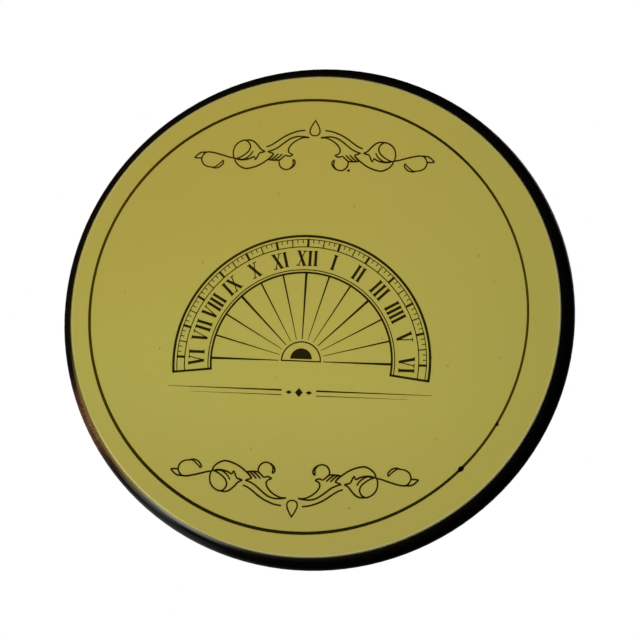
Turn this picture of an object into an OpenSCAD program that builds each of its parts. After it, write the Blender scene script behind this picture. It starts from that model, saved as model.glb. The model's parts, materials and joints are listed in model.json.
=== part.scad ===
// Equatorial sundial on a round turned wooden base.
// An hour ring, hinged at its north side, is set to the latitude on a slotted
// quadrant and held by a clamp nut. A gnomon pin on a crossbar turns in the ring,
// and a magnetic compass is let into the base under it.
// Millimetres, +Z up, origin in the middle of the underside.
// North is -Y, east is -X, and the ring's upper face looks to the north.

/* [Base] */
// Widest diameter of the wooden base
base_d = 90; // [88:1:100]
// Height of the wooden base's top above the table
base_h = 14; // [13.5:0.5:17]
// Radius of the rounding at the bottom edge
edge_r = 1.8; // [1.5:0.1:2]
// Diameter of the printed plate under the base
plate_d = 86; // [82:0.5:86]
// Thickness of the printed plate
plate_t = 0.5; // [0.4:0.1:0.8]
// How far the glued plate sits off the base's axis, along X
plate_off_x = -0.40; // [-0.4:0.02:0.4]
// How far the glued plate sits off the base's axis, along Y
plate_off_y = 0.06; // [-0.4:0.02:0.4]

/* [Deck] */
// Diameter of the brass deck plate
deck_d = 76.6; // [76.4:0.1:77]
// Thickness of the deck plate
deck_t = 1.6; // [1.4:0.1:2]
// Depth of the recess that the deck plate lies in
deck_in = 0.8; // [0.6:0.1:1]

/* [Hour ring] */
// Outer diameter of the hour ring
ring_d = 50; // [48:0.5:50.5]
// Radial width of the hour ring
ring_w = 4.5; // [4:0.1:5]
// Thickness of the hour ring
ring_t = 2.6; // [2.4:0.1:3]
// Latitude that the ring is set to, in degrees
latitude = 45; // [20:1:65]
// Height of the hinge axis above the deck
hinge_up = 4.4; // [4.3:0.1:5]

/* [Gnomon] */
// Reach of the gnomon pin on each side of the ring's plane
gnomon_l = 11.5; // [9.5:0.5:12]
// Radius of the gnomon pin
gnomon_r = 0.7; // [0.6:0.05:0.75]

/* [Latitude quadrant] */
// Thickness of the quadrant
arc_t = 2; // [1.6:0.1:2.4]
// Width of the quadrant inside the slot's centre line
arc_in = 2.5; // [2.4:0.1:3]
// Width of the quadrant outside the slot's centre line, for the scale
arc_out = 5.5; // [5:0.1:5.6]
// Highest latitude on the slot, in degrees
lat_hi = 70; // [66:1:70]
// Lowest latitude on the slot, in degrees
lat_lo = 10; // [10:1:19]

/* [Compass] */
// Inner radius of the compass bowl
bowl_r = 14.6; // [14.2:0.1:14.8]
// Depth of the bowl's floor under the deck's top face
bowl_deep = 8.1; // [7.5:0.1:8.5]
// Length of the compass needle
needle_l = 25; // [22:0.5:27]

/* [Hidden] */

$fn = 96;

base_r = base_d / 2;
top_r = base_r - 4;              // widest of the upper bead
plate_r = plate_d / 2;
deck_r = deck_d / 2;
deck_z0 = base_h - deck_in;      // underside of the deck
h0 = deck_z0 + deck_t;           // upper face of the deck

ring_ro = ring_d / 2;
ring_ri = ring_ro - ring_w;
ring_c = ring_ro + 2.5;          // hinge axis to the ring's centre
ring_face = 0.2;                 // depth of the engraved face under the two rims
tilt = 90 - latitude;            // ring's slope from the horizontal
hinge_y = -ring_c;
hinge_z = h0 + hinge_up;

stud_r = 1.05;
slot_r = 1.15;
arc_x0 = ring_ro + 1.8;          // inner face of the quadrant
arc_x1 = arc_x0 + arc_t;
arc_ri = ring_c - arc_in;
arc_ro = ring_c + arc_out;

bowl_ro = 16;
flange_r = 18;
z_floor = h0 - bowl_deep;        // upper face of the bowl's floor
z_rab = h0 - 0.3;                // ledge that the gasket lies on
z_fl = h0 + 0.7;                 // top of the bowl's flange
z_needle = z_floor + 3.5;

// Deck screws, hinge screws and quadrant screws, as [x, y]
deck_pos = [for (a = [60, 120, 240, 300]) [34.5 * cos(a), 34.5 * sin(a)]];
hinge_pos = [[-9.2, hinge_y], [9.2, hinge_y]];
quad_x = arc_x1 - 5.2;
quad_pos = [[quad_x, -19.5], [quad_x, -8.5], [quad_x, 2.5]];

// Puts the profile's X on the row's Y, its Y on Z and the extrusion on X
module yz() { rotate([90, 0, 90]) children(); }

// Local frame of the ring: origin on the hinge axis, +Y up the slope, +Z out of its upper face
module on_ring() { translate([0, hinge_y, hinge_z]) rotate([tilt, 0, 0]) children(); }

// A round rod along X from x0 to x1
module rod_x(x0, x1, r) { translate([x0, 0, 0]) rotate([0, 90, 0]) cylinder(h = x1 - x0, r = r); }

// Screw with a slotted head that is domed (up > 0) or let in flush (up = 0).
// Origin on the face that the head bears on, shank down -Z
module screw(r, head_r, up, len) {
    difference() {
        union() {
            if (up > 0) {
                translate([0, 0, 0]) cylinder(h = up * 0.45, r = head_r);
                translate([0, 0, up * 0.45]) cylinder(h = up * 0.55, r1 = head_r, r2 = head_r * 0.72);
            } else {
                translate([0, 0, -0.75]) cylinder(h = 0.75, r1 = r, r2 = head_r);
            }
            translate([0, 0, -len]) cylinder(h = len, r = r);
        }
        translate([-head_r - 1, -0.19, up > 0 ? up - 0.4 : -0.35]) cube([2 * head_r + 2, 0.38, 1]);
    }
}

// Section of the turned base: bead, fillet, cove, fillet, upper bead
module base_section() {
    difference() {
        union() {
            translate([0, plate_t]) square([base_r - edge_r, 2 * edge_r]);
            translate([base_r - edge_r, plate_t + edge_r]) circle(r = edge_r);
            translate([0, plate_t]) square([base_r - 3, base_h - 9 - plate_t]);
            translate([0, plate_t]) square([base_r - 4.7, base_h - 3.3 - plate_t]);
            translate([0, plate_t]) square([top_r - 1.65, base_h - plate_t]);
            translate([top_r - 1.65, base_h - 1.65]) circle(r = 1.65);
        }
        translate([base_r - 2.6, base_h - 6.5]) circle(r = 3.4);
        translate([0, deck_z0]) square([deck_r + 0.1, 5]);
        translate([0, z_floor - 1.3]) square([bowl_ro + 0.2, 20]);
    }
}

module wood_base() {
    color([0.06, 0.035, 0.03])
    difference() {
        rotate_extrude($fn = 180) base_section();
        for (p = deck_pos) translate([p[0], p[1], deck_z0 - 5.2]) cylinder(h = 6, r = 0.82, $fn = 32);
        for (p = hinge_pos) translate([p[0], p[1], deck_z0 - 3.4]) cylinder(h = 4, r = 0.82, $fn = 32);
        for (p = quad_pos) translate([p[0], p[1], deck_z0 - 3.4]) cylinder(h = 4, r = 0.82, $fn = 32);
    }
}

module label_plate() {
    color([0.66, 0.62, 0.28])
    translate([plate_off_x, plate_off_y, 0])
    rotate_extrude($fn = 180)
        polygon([[0, 0], [plate_r - 0.18, 0], [plate_r, 0.14], [plate_r, plate_t], [0, plate_t]]);
}

module deck_plate() {
    color([0.78, 0.63, 0.3])
    difference() {
        rotate_extrude($fn = 180)
            polygon([[bowl_ro + 0.05, deck_z0], [deck_r, deck_z0], [deck_r, h0 - 0.35],
                     [deck_r - 0.35, h0], [bowl_ro + 0.05, h0]]);
        for (p = deck_pos) translate([p[0], p[1], 0]) {
            translate([0, 0, deck_z0 - 1]) cylinder(h = 9, r = 0.82, $fn = 32);
            translate([0, 0, h0 - 0.77]) cylinder(h = 0.77, r1 = 0.82, r2 = 1.62, $fn = 48);
        }
        for (p = hinge_pos) translate([p[0], p[1], deck_z0 - 1]) cylinder(h = 9, r = 0.82, $fn = 32);
        for (p = quad_pos) translate([p[0], p[1], deck_z0 - 1]) cylinder(h = 9, r = 0.82, $fn = 32);
    }
}

module deck_screws() {
    color([0.72, 0.56, 0.25])
    for (i = [0:3]) translate([deck_pos[i][0], deck_pos[i][1], h0])
        rotate([0, 0, 25 + 65 * i]) screw(0.8, 1.6, 0, 6.2);
}

module hinge_screws() {
    color([0.72, 0.56, 0.25])
    for (i = [0:1]) translate([hinge_pos[i][0], hinge_pos[i][1], h0 + 1.5])
        rotate([0, 0, 40 + 70 * i]) screw(0.8, 1.35, 0.85, 6);
}

module quadrant_screws() {
    color([0.72, 0.56, 0.25])
    for (i = [0:2]) translate([quad_pos[i][0], quad_pos[i][1], h0 + 1.4])
        rotate([0, 0, 15 + 50 * i]) screw(0.8, 1.35, 0.85, 5.9);
}

module compass_bowl() {
    color([0.8, 0.66, 0.34])
    rotate_extrude($fn = 144)
        polygon([[0, z_floor - 1], [bowl_ro - 0.6, z_floor - 1], [bowl_ro, z_floor - 0.4],
                 [bowl_ro, h0], [flange_r - 0.2, h0], [flange_r, h0 + 0.2], [flange_r, z_fl],
                 [bowl_r + 0.6, z_fl], [bowl_r + 0.6, z_rab], [bowl_r, z_rab],
                 [bowl_r, z_floor], [0, z_floor]]);
}

module compass_card() {
    color([0.93, 0.9, 0.8])
    translate([0, 0, z_floor]) difference() {
        cylinder(h = 0.4, r = bowl_r - 0.2, $fn = 144);
        translate([0, 0, -1]) cylinder(h = 3, r = 0.72);
    }
}

// Steel pin on a small collar that stands on the card, riveted through it
module compass_pivot() {
    color([0.6, 0.6, 0.62])
    translate([0, 0, z_floor])
    rotate_extrude()
        polygon([[0, 0], [0.7, 0], [0.7, 0.4], [1.7, 0.4], [1.7, 0.75], [1.2, 1.05],
                 [0.75, 1.3], [0.45, 2.6], [0.45, 4.0], [0.08, 4.55], [0, 4.55]]);
}

// Lozenge needle with a round eye, balanced on the cap
module compass_needle() {
    color([0.12, 0.16, 0.32])
    translate([0, 0, z_needle]) linear_extrude(height = 0.35) difference() {
        union() {
            polygon([[0, -needle_l / 2], [1.5, -needle_l / 10], [1.9, 0], [1.5, needle_l / 10],
                     [0, needle_l / 2], [-1.5, needle_l / 10], [-1.9, 0], [-1.5, -needle_l / 10]]);
            circle(r = 2.1);
        }
        circle(r = 1.1);
    }
}

module needle_cap() {
    color([0.82, 0.66, 0.32])
    translate([0, 0, z_floor]) difference() {
        rotate_extrude()
            polygon([[0, 3.1], [1.0, 3.1], [1.1, 3.2], [1.1, 3.85], [1.55, 3.85], [1.55, 4.1],
                     [1.05, 4.5], [0.75, 5.2], [0.4, 5.5], [0, 5.5]]);
        translate([0, 0, 2.5]) cylinder(h = 1.5, r = 0.53);
        translate([0, 0, 4.0]) cylinder(h = 0.62, r1 = 0.53, r2 = 0.14);
    }
}

module glass_gasket() {
    color([0.08, 0.08, 0.08])
    translate([0, 0, z_rab]) difference() {
        cylinder(h = 0.2, r = bowl_r + 0.55, $fn = 144);
        translate([0, 0, -1]) cylinder(h = 3, r = bowl_r - 0.1, $fn = 144);
    }
}

module compass_glass() {
    color([0.85, 0.92, 0.95, 0.3])
    translate([0, 0, z_rab + 0.2]) cylinder(h = 0.8, r = bowl_r + 0.55, $fn = 144);
}

// Bezel with a bead on its outer edge and a bevel down to the glass
module compass_bezel() {
    color([0.8, 0.65, 0.32])
    translate([0, 0, z_fl]) rotate_extrude($fn = 144) difference() {
        union() {
            polygon([[bowl_r - 0.3, 0], [flange_r, 0], [flange_r, 0.45], [flange_r - 0.3, 0.6],
                     [flange_r - 0.9, 0.7], [flange_r - 1.9, 1.35], [flange_r - 2.5, 1.35],
                     [bowl_r - 0.3, 0.35]]);
            translate([flange_r - 0.5, 0.5]) circle(r = 0.45);
        }
        translate([flange_r - 1.35, 1.15]) circle(r = 0.28);
    }
}

// Foot with two ears that carry the hinge pin
module hinge_bracket() {
    color([0.76, 0.6, 0.28])
    translate([0, hinge_y, 0]) difference() {
        union() {
            translate([-9.2, -3.4, h0]) cube([18.4, 6.8, 1.5]);
            for (s = [-1, 1]) translate([s * 9.2, 0, h0]) cylinder(h = 1.5, r = 3.4);
            for (s = [-1, 1]) {
                translate([s * 4.95 - 1, -2.6, h0]) cube([2, 5.2, hinge_up]);
                translate([0, 0, hinge_z]) rod_x(s * 4.95 - 1, s * 4.95 + 1, 2.6);
            }
        }
        translate([0, 0, hinge_z]) rod_x(-8, 8, 1.01);
        for (s = [-1, 1]) translate([s * 9.2, 0, h0 - 1]) cylinder(h = 4, r = 0.82, $fn = 32);
    }
}

module hinge_pin() {
    color([0.7, 0.54, 0.24])
    translate([0, hinge_y, hinge_z]) union() {
        rod_x(-6.5, 6.5, 1);
        for (s = [-1, 1]) rotate([0, s * 90, 0]) {
            translate([0, 0, 6.0]) cylinder(h = 0.4, r = 1.7);
            translate([0, 0, 6.4]) cylinder(h = 0.5, r1 = 1.7, r2 = 1.0);
        }
    }
}

// Thin washers between the knuckle and the ears
module hinge_washers() {
    color([0.62, 0.48, 0.22])
    translate([0, hinge_y, hinge_z]) difference() {
        for (s = [-1, 1]) rod_x(s * 3.775 - 0.15, s * 3.775 + 0.15, 2.0);
        rod_x(-8, 8, 1.02);
    }
}

// Ring section: two faces let in between an inner and an outer rim
module ring_section() {
    h = ring_t / 2;
    polygon([[ring_ri, -h + 0.2], [ring_ri + 0.2, -h], [ring_ri + 0.6, -h],
             [ring_ri + 0.6, -h + ring_face], [ring_ro - 0.7, -h + ring_face],
             [ring_ro - 0.7, -h], [ring_ro - 0.2, -h], [ring_ro, -h + 0.2],
             [ring_ro, h - 0.2], [ring_ro - 0.2, h], [ring_ro - 0.7, h],
             [ring_ro - 0.7, h - ring_face], [ring_ri + 0.6, h - ring_face],
             [ring_ri + 0.6, h], [ring_ri + 0.2, h], [ring_ri, h - 0.2]]);
}

module hour_ring() {
    color([0.8, 0.65, 0.32])
    on_ring() difference() {
        union() {
            translate([0, ring_c, 0]) rotate_extrude($fn = 180) ring_section();
            // knuckle and the lug that joins it to the ring
            rod_x(-3.6, 3.6, 2.15);
            translate([-3.6, 0, -1]) cube([7.2, ring_c - ring_ro + 0.6, 2]);
            // bosses for the clamp stud and the pivot screw
            translate([0, ring_c, 0]) rod_x(ring_ro - 2.4, ring_ro - 0.4, 1.9);
            translate([0, ring_c, 0]) rod_x(-ring_ro + 0.4, -ring_ro + 2.4, 1.9);
        }
        rod_x(-5, 5, 1.05);
        translate([0, ring_c, 0]) {
            rod_x(ring_ri - 1, ring_ri + 1.9, 0.95);
            rod_x(ring_ro - 2.1, ring_ro + 2, 1.02);
            rod_x(-ring_ro - 2, -ring_ri + 1, 0.95);
            // flats that the stud's collar and the screw's head bear on
            rod_x(ring_ro - 0.4, ring_ro + 2, 2.3);
            rod_x(-ring_ro - 2, -ring_ro + 0.4, 2.3);
        }
    }
}

// Turned bar on the ring's east-west diameter, with a barrel in the middle
module gnomon_crossbar() {
    e = ring_ri - 0.3;
    color([0.78, 0.62, 0.3])
    on_ring() translate([0, ring_c, 0]) difference() {
        union() {
            rod_x(-e, e, 1.1);
            rod_x(-2.6, 2.6, 1.9);
            for (s = [-1, 1]) {
                rod_x(s * 3.05 - 0.3, s * 3.05 + 0.3, 1.5);
                rod_x(s * 4.2 - 0.35, s * 4.2 + 0.35, 1.45);
                rod_x(s * (e - 1.0) - 0.5, s * (e - 1.0) + 0.5, 1.6);
                rod_x(s * (e - 2.4) - 0.3, s * (e - 2.4) + 0.3, 1.4);
            }
            rod_x(e - 0.1, ring_ri + 1.7, 0.9);
        }
        translate([0, 0, -4]) cylinder(h = 8, r = gnomon_r + 0.01);
        rod_x(-e - 1, -e + 4.3, 0.76);
    }
}

// Pin through the barrel, pointed at both ends: the upper half is read in summer, the lower in winter
module gnomon_pin() {
    L = gnomon_l;
    color([0.8, 0.65, 0.32])
    on_ring() translate([0, ring_c, 0]) rotate_extrude($fn = 64)
        polygon([[0, -L], [0.12, -L], [0.45, -L + 2.2], [gnomon_r * 0.8, -3.4], [gnomon_r, -2.6],
                 [gnomon_r, 2.6], [gnomon_r * 0.8, 3.4], [0.45, L - 2.2], [0.12, L], [0, L]]);
}

module crossbar_pivot_screw() {
    e = ring_ri - 0.3;
    color([0.72, 0.56, 0.25])
    on_ring() translate([0, ring_c, 0]) difference() {
        union() {
            rod_x(-ring_ro + 0.35, -e - 0.02, 0.9);
            rod_x(-ring_ro + 0.35, -e + 4.1, 0.75);
            translate([-ring_ro + 0.36, 0, 0]) rotate([0, -90, 0]) {
                cylinder(h = 0.5, r = 1.7);
                translate([0, 0, 0.5]) cylinder(h = 0.5, r1 = 1.7, r2 = 1.2);
            }
        }
        translate([-ring_ro - 2, -3, -0.2]) cube([1.8, 6, 0.4]);
    }
}

// Outline of the quadrant, origin on the hinge axis, first axis south, second up
module quadrant_outline() {
    t0 = 90 - lat_hi;
    t1 = 90 - lat_lo;
    te = t1 + 1.5;
    band = (arc_ro - arc_ri) / 2;
    post = 3.2;
    dz = -hinge_up;
    difference() {
        union() {
            intersection() {
                difference() { circle(r = arc_ro, $fn = 180); circle(r = arc_ri, $fn = 180); }
                polygon([[0, dz], [60, dz], [60, 60], [60 * cos(te), 60 * sin(te)], [0, 0]]);
            }
            // rounded upper end
            translate([(arc_ri + band) * cos(te), (arc_ri + band) * sin(te)]) circle(r = band);
            // upright, rail, and two rings in the corners
            translate([post, dz]) square([3, arc_ri - dz + 1]);
            translate([post, dz]) square([arc_ri - post, 2.4]);
            translate([9.9, sqrt(pow(arc_ri - 3.7, 2) - 9.9 * 9.9)]) circle(r = 4);
            translate([sqrt(pow(arc_ri - 2.9, 2) - 0.64), dz + 5.2]) circle(r = 3.2);
        }
        translate([9.9, sqrt(pow(arc_ri - 3.7, 2) - 9.9 * 9.9)]) circle(r = 2.7);
        translate([sqrt(pow(arc_ri - 2.9, 2) - 0.64), dz + 5.2]) circle(r = 2.0);
        // slot
        intersection() {
            difference() { circle(r = ring_c + slot_r, $fn = 180); circle(r = ring_c - slot_r, $fn = 180); }
            polygon([[0, 0], [60 * cos(t0), 60 * sin(t0)], [60, 60], [60 * cos(t1), 60 * sin(t1)]]);
        }
        for (t = [t0, t1]) translate([ring_c * cos(t), ring_c * sin(t)]) circle(r = slot_r);
    }
}

module latitude_quadrant() {
    color([0.78, 0.62, 0.3])
    difference() {
        union() {
            translate([arc_x0, hinge_y, hinge_z]) yz() linear_extrude(height = arc_t) quadrant_outline();
            translate([arc_x1 - 7.6, hinge_y + 3.2, h0]) cube([7.6, ring_c + 2.2, 1.4]);
        }
        for (p = quad_pos) translate([p[0], p[1], h0 - 1]) cylinder(h = 4, r = 0.82, $fn = 32);
    }
}

// Stud in the ring's side: its collar stands between the ring and the quadrant
module clamp_stud() {
    color([0.7, 0.55, 0.25])
    on_ring() translate([0, ring_c, 0]) union() {
        rod_x(ring_ro - 2.05, ring_ro, 1);
        rod_x(ring_ro - 0.39, arc_x0 - 0.08, 2.1);
        rod_x(arc_x0 - 0.5, arc_x1 + 5.2, stud_r);
        translate([arc_x1 + 5.2, 0, 0]) rotate([0, 90, 0]) cylinder(h = 0.5, r1 = stud_r, r2 = 0.6);
    }
}

// Washer with a tongue that points at the scale on the quadrant
module latitude_pointer() {
    color([0.82, 0.68, 0.36])
    on_ring() translate([arc_x1 + 0.1, ring_c, 0]) yz() linear_extrude(height = 0.6) difference() {
        union() {
            circle(r = 2.5);
            polygon([[1.5, -1.3], [4.7, 0], [1.5, 1.3]]);
        }
        circle(r = stud_r + 0.03);
    }
}

module clamp_washer() {
    color([0.6, 0.46, 0.2])
    on_ring() translate([0, ring_c, 0]) difference() {
        rod_x(arc_x1 + 0.72, arc_x1 + 1.1, 2.2);
        rod_x(arc_x1, arc_x1 + 2, stud_r + 0.03);
    }
}

// Knurled nut
module clamp_nut() {
    x0 = arc_x1 + 1.15;
    color([0.8, 0.65, 0.32])
    on_ring() translate([0, ring_c, 0]) difference() {
        union() {
            rod_x(x0, x0 + 3.5, 2.3);
            translate([x0 + 0.5, 0, 0]) rotate([0, 90, 0]) cylinder(h = 0.3, r1 = 3.5, r2 = 3.8);
            rod_x(x0 + 0.8, x0 + 2.7, 3.8);
            translate([x0 + 2.7, 0, 0]) rotate([0, 90, 0]) cylinder(h = 0.3, r1 = 3.8, r2 = 3.5);
        }
        rod_x(x0 - 1, x0 + 6, stud_r + 0.04);
        for (i = [0:27]) rotate([i * 360 / 28, 0, 0]) translate([0, 3.95, 0]) rod_x(x0 - 1, x0 + 6, 0.3, $fn = 16);
    }
}

wood_base();
label_plate();
deck_plate();
deck_screws();
compass_bowl();
compass_card();
compass_pivot();
compass_needle();
needle_cap();
glass_gasket();
compass_glass();
compass_bezel();
hinge_bracket();
hinge_screws();
hinge_pin();
hinge_washers();
hour_ring();
gnomon_crossbar();
gnomon_pin();
crossbar_pivot_screw();
latitude_quadrant();
quadrant_screws();
clamp_stud();
latitude_pointer();
clamp_washer();
clamp_nut();
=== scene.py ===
"""Looks of an equatorial sundial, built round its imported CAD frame. Metres, +Z up, north -Y, east -X."""

import json
import math
import random

import bmesh
import bpy
import numpy as np
from mathutils import Matrix, Vector

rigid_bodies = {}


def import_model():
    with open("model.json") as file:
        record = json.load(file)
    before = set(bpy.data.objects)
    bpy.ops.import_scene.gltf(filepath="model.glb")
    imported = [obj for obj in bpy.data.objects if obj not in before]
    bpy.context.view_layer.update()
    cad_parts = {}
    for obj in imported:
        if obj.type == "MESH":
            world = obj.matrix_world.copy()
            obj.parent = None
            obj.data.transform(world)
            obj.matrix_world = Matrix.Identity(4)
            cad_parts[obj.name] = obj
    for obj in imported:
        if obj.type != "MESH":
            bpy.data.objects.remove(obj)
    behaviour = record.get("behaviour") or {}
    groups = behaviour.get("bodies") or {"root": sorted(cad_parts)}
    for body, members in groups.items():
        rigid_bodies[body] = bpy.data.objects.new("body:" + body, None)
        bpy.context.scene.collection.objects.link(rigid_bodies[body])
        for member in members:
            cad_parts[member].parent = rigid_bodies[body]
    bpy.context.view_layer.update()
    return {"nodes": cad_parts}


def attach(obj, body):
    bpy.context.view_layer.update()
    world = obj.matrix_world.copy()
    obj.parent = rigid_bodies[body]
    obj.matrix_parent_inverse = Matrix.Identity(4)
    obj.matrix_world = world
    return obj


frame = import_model()
NODES = frame["nodes"]
MM = 0.001
scene = bpy.context.scene

# Sizes repeated from the CAD source, in millimetres
HINGE = (0.0, -27.5, 19.2)
RING_C = 27.5          # hinge axis to the ring's centre
TILT = math.radians(45)
FACE = 1.1             # engraved faces of the ring, above and below its middle plane
DECK_Z = 14.8
CARD_Z = 7.1
QUAD_X = 28.8          # outer face of the quadrant
PLATE_C = (-0.40, 0.06)


# ---------------------------------------------------------------- camera
# Looks up at the underside, 14 degrees off its axis
ROWS = [(0.991660, -0.060777, 0.113654),
        (0.034418, 0.974686, 0.220913),
        (-0.124203, -0.215160, 0.968648)]
cam = bpy.data.cameras.new("camera")
cam.lens, cam.sensor_width = 112.5, 36.0
cam.clip_start, cam.clip_end = 0.01, 20
cam_o = bpy.data.objects.new("camera", cam)
scene.collection.objects.link(cam_o)
cx, cy, cz = Vector(ROWS[0]), -Vector(ROWS[1]), -Vector(ROWS[2])
cam_m = Matrix((cx, cy, cz)).transposed().to_4x4()
cam_m.translation = Vector((0.04420, 0.07647, -0.33671))
cam_o.matrix_world = cam_m
scene.camera = cam_o
scene.view_settings.view_transform = "Standard"
scene.view_settings.look = "None"


# ---------------------------------------------------------------- small node language
class Nodes:
    """Builds one material's nodes. Sockets are given as values or as other nodes' outputs."""

    def __init__(self, name):
        self.mat = bpy.data.materials.new(name)
        self.mat.use_nodes = True
        self.nt = self.mat.node_tree
        self.nt.nodes.clear()
        self.out = self.nt.nodes.new("ShaderNodeOutputMaterial")
        self.bsdf = self.nt.nodes.new("ShaderNodeBsdfPrincipled")
        self.nt.links.new(self.bsdf.outputs[0], self.out.inputs[0])

    def put(self, socket, v):
        if isinstance(v, bpy.types.NodeSocket):
            self.nt.links.new(v, socket)
        elif isinstance(v, (tuple, list)) and len(v) == 3 and len(socket.default_value) == 4:
            socket.default_value = (*v, 1)
        else:
            socket.default_value = v

    def node(self, kind, inputs=(), out=0, **props):
        n = self.nt.nodes.new("ShaderNode" + kind)
        for k, v in props.items():
            setattr(n, k, v)
        for k, v in dict(inputs).items():
            self.put(n.inputs[k], v)
        return n.outputs[out]

    def set(self, **kw):
        for k, v in kw.items():
            self.put(self.bsdf.inputs[k.replace("_", " ")], v)

    def math(self, op, a, b=0.0, c=0.0, clamp=False):
        return self.node("Math", {0: a, 1: b, 2: c}, operation=op, use_clamp=clamp)

    def vmath(self, op, a, b=(0, 0, 0)):
        return self.node("VectorMath", {0: a, 1: b}, operation=op)

    def obj(self):
        return self.node("TexCoord", out=3)

    def xyz(self, v):
        n = self.nt.nodes.new("ShaderNodeSeparateXYZ")
        self.put(n.inputs[0], v)
        return n.outputs[0], n.outputs[1], n.outputs[2]

    def join(self, x, y, z):
        return self.node("CombineXYZ", {0: x, 1: y, 2: z})

    def noise(self, v, scale, detail=2.0, rough=0.5, dist=0.0):
        return self.node("TexNoise", {"Vector": v, "Scale": scale, "Detail": detail, "Roughness": rough,
                                      "Distortion": dist})

    def span(self, v, a, b, lo=0.0, hi=1.0, smooth=True):
        return self.node("MapRange", {"Value": v, "From Min": a, "From Max": b, "To Min": lo, "To Max": hi},
                         interpolation_type="SMOOTHSTEP" if smooth else "LINEAR")

    def mix(self, f, a, b):
        n = self.nt.nodes.new("ShaderNodeMix")
        n.data_type = "RGBA"
        self.put(n.inputs[0], f)
        self.put(n.inputs[6], a if not isinstance(a, tuple) else (*a, 1)[:4])
        self.put(n.inputs[7], b if not isinstance(b, tuple) else (*b, 1)[:4])
        return n.outputs[2]

    def length(self, a, b):
        return self.math("SQRT", self.math("ADD", self.math("MULTIPLY", a, a), self.math("MULTIPLY", b, b)))

    def bump(self, height, dist, strength=1.0, normal=None):
        d = {"Strength": strength, "Distance": dist, "Height": height}
        if normal is not None:
            d["Normal"] = normal
        return self.node("Bump", d)


def local(g, v, origin=(0, 0, 0), rx=0.0):
    """Object coordinates in a frame at origin (metres), turned by rx about X."""
    p = g.vmath("SUBTRACT", v, tuple(origin))
    if not rx:
        return p
    return g.node("VectorRotate", {"Vector": p, "Angle": -rx}, rotation_type="X_AXIS")


def brass(name, colour, rough, mode, origin=(0, 0, 0), rx=0.0, lines=9000.0, depth=4e-6, tarnish=0.35):
    """Lacquered brass. mode says how the tool marks run: turn_z and turn_x are lathe marks about that axis, brush_x and
    brush_y are straight, cast is a fine grain, and any other mode gives marks with no direction."""
    g = Nodes(name)
    o = g.obj()
    p = local(g, o, origin, rx)
    x, y, z = g.xyz(p)
    if mode == "turn_z":
        v = g.join(g.length(x, y), g.math("MULTIPLY", z, 1.0), 0.0)
    elif mode == "turn_x":
        v = g.join(g.length(y, z), x, 0.0)
    elif mode == "brush_x":
        v = g.join(g.math("MULTIPLY", x, 0.02), y, z)
    elif mode == "brush_y":
        v = g.join(x, g.math("MULTIPLY", y, 0.02), z)
    else:
        v = p
    marks = g.noise(v, lines, 3.0, 0.65)
    if mode == "cast":
        marks = g.math("ADD", g.math("MULTIPLY", marks, 0.5), g.math("MULTIPLY", g.noise(o, lines * 0.28, 2), 0.6))
    cloud = g.noise(o, 150.0, 4.0, 0.6, 0.3)
    spots = g.noise(o, 1300.0, 3.0, 0.7)
    dirt = g.math("MULTIPLY", g.span(cloud, 0.46, 0.72), tarnish)
    flecks = g.math("MULTIPLY", g.span(spots, 0.62, 0.74), tarnish * 0.7)
    dirt = g.math("ADD", dirt, flecks, clamp=True)
    dark = tuple(c * f for c, f in zip(colour, (0.52, 0.42, 0.34)))
    pale = tuple(min(1.0, c * 1.06) for c in colour)
    base = g.mix(g.span(marks, 0.35, 0.65), colour, pale)
    g.set(Base_Color=g.mix(dirt, base, dark), Metallic=1.0)
    r = g.math("MULTIPLY_ADD", g.span(marks, 0.3, 0.7), 0.10, rough - 0.05)
    g.set(Roughness=g.math("MULTIPLY_ADD", dirt, 0.22, r))
    g.set(Normal=g.bump(marks, depth))
    g.set(Coat_Weight=0.25, Coat_Roughness=0.12, Coat_IOR=1.45)
    return g.mat


RINGO = tuple(a * MM for a in (0, HINGE[1] + RING_C * math.cos(TILT), HINGE[2] + RING_C * math.sin(TILT)))
HING = tuple(a * MM for a in HINGE)
GOLD = (0.60, 0.42, 0.135)

M = {
    "deck": brass("brass_deck", GOLD, 0.34, "turn_z", lines=5200, depth=5e-6, tarnish=0.30),
    "ring": brass("brass_ring", (0.64, 0.45, 0.15), 0.30, "turn_z", RINGO, TILT, lines=5200, tarnish=0.22),
    "quadrant": brass("brass_quadrant", (0.61, 0.425, 0.14), 0.33, "brush_y", lines=14000, depth=1.2e-6, tarnish=0.28),
    "turned_z": brass("brass_turned_z", (0.66, 0.465, 0.155), 0.20, "turn_z", lines=6500, depth=3e-6, tarnish=0.2),
    "crossbar": brass("brass_crossbar", (0.64, 0.45, 0.15), 0.21, "turn_x", RINGO, TILT, lines=5200, tarnish=0.25),
    "pin": brass("brass_pin", (0.66, 0.47, 0.16), 0.20, "turn_z", RINGO, TILT, lines=5200, tarnish=0.2),
    "nut": brass("brass_nut", (0.66, 0.465, 0.155), 0.22, "turn_x", RINGO, TILT, lines=5200, tarnish=0.3),
    "hinge": brass("brass_cast", (0.56, 0.385, 0.125), 0.37, "cast", lines=4200, depth=9e-6, tarnish=0.45),
    "pointer": brass("brass_pointer", (0.62, 0.43, 0.14), 0.30, "brush_y", lines=5200, tarnish=0.25),
    "washer": brass("brass_washer", (0.52, 0.36, 0.12), 0.33, "turn_x", RINGO, TILT, lines=5200, tarnish=0.4),
    "hwasher": brass("brass_hinge_washer", (0.50, 0.345, 0.115), 0.33, "turn_x", HING, 0.0, lines=5200, tarnish=0.4),
    "screw": brass("brass_screw", (0.62, 0.43, 0.14), 0.22, "brush_x", lines=12000, depth=1.2e-6, tarnish=0.12),
    "hpin": brass("brass_hinge_pin", (0.54, 0.37, 0.12), 0.25, "turn_x", HING, 0.0, lines=5200, tarnish=0.45),
}


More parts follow.
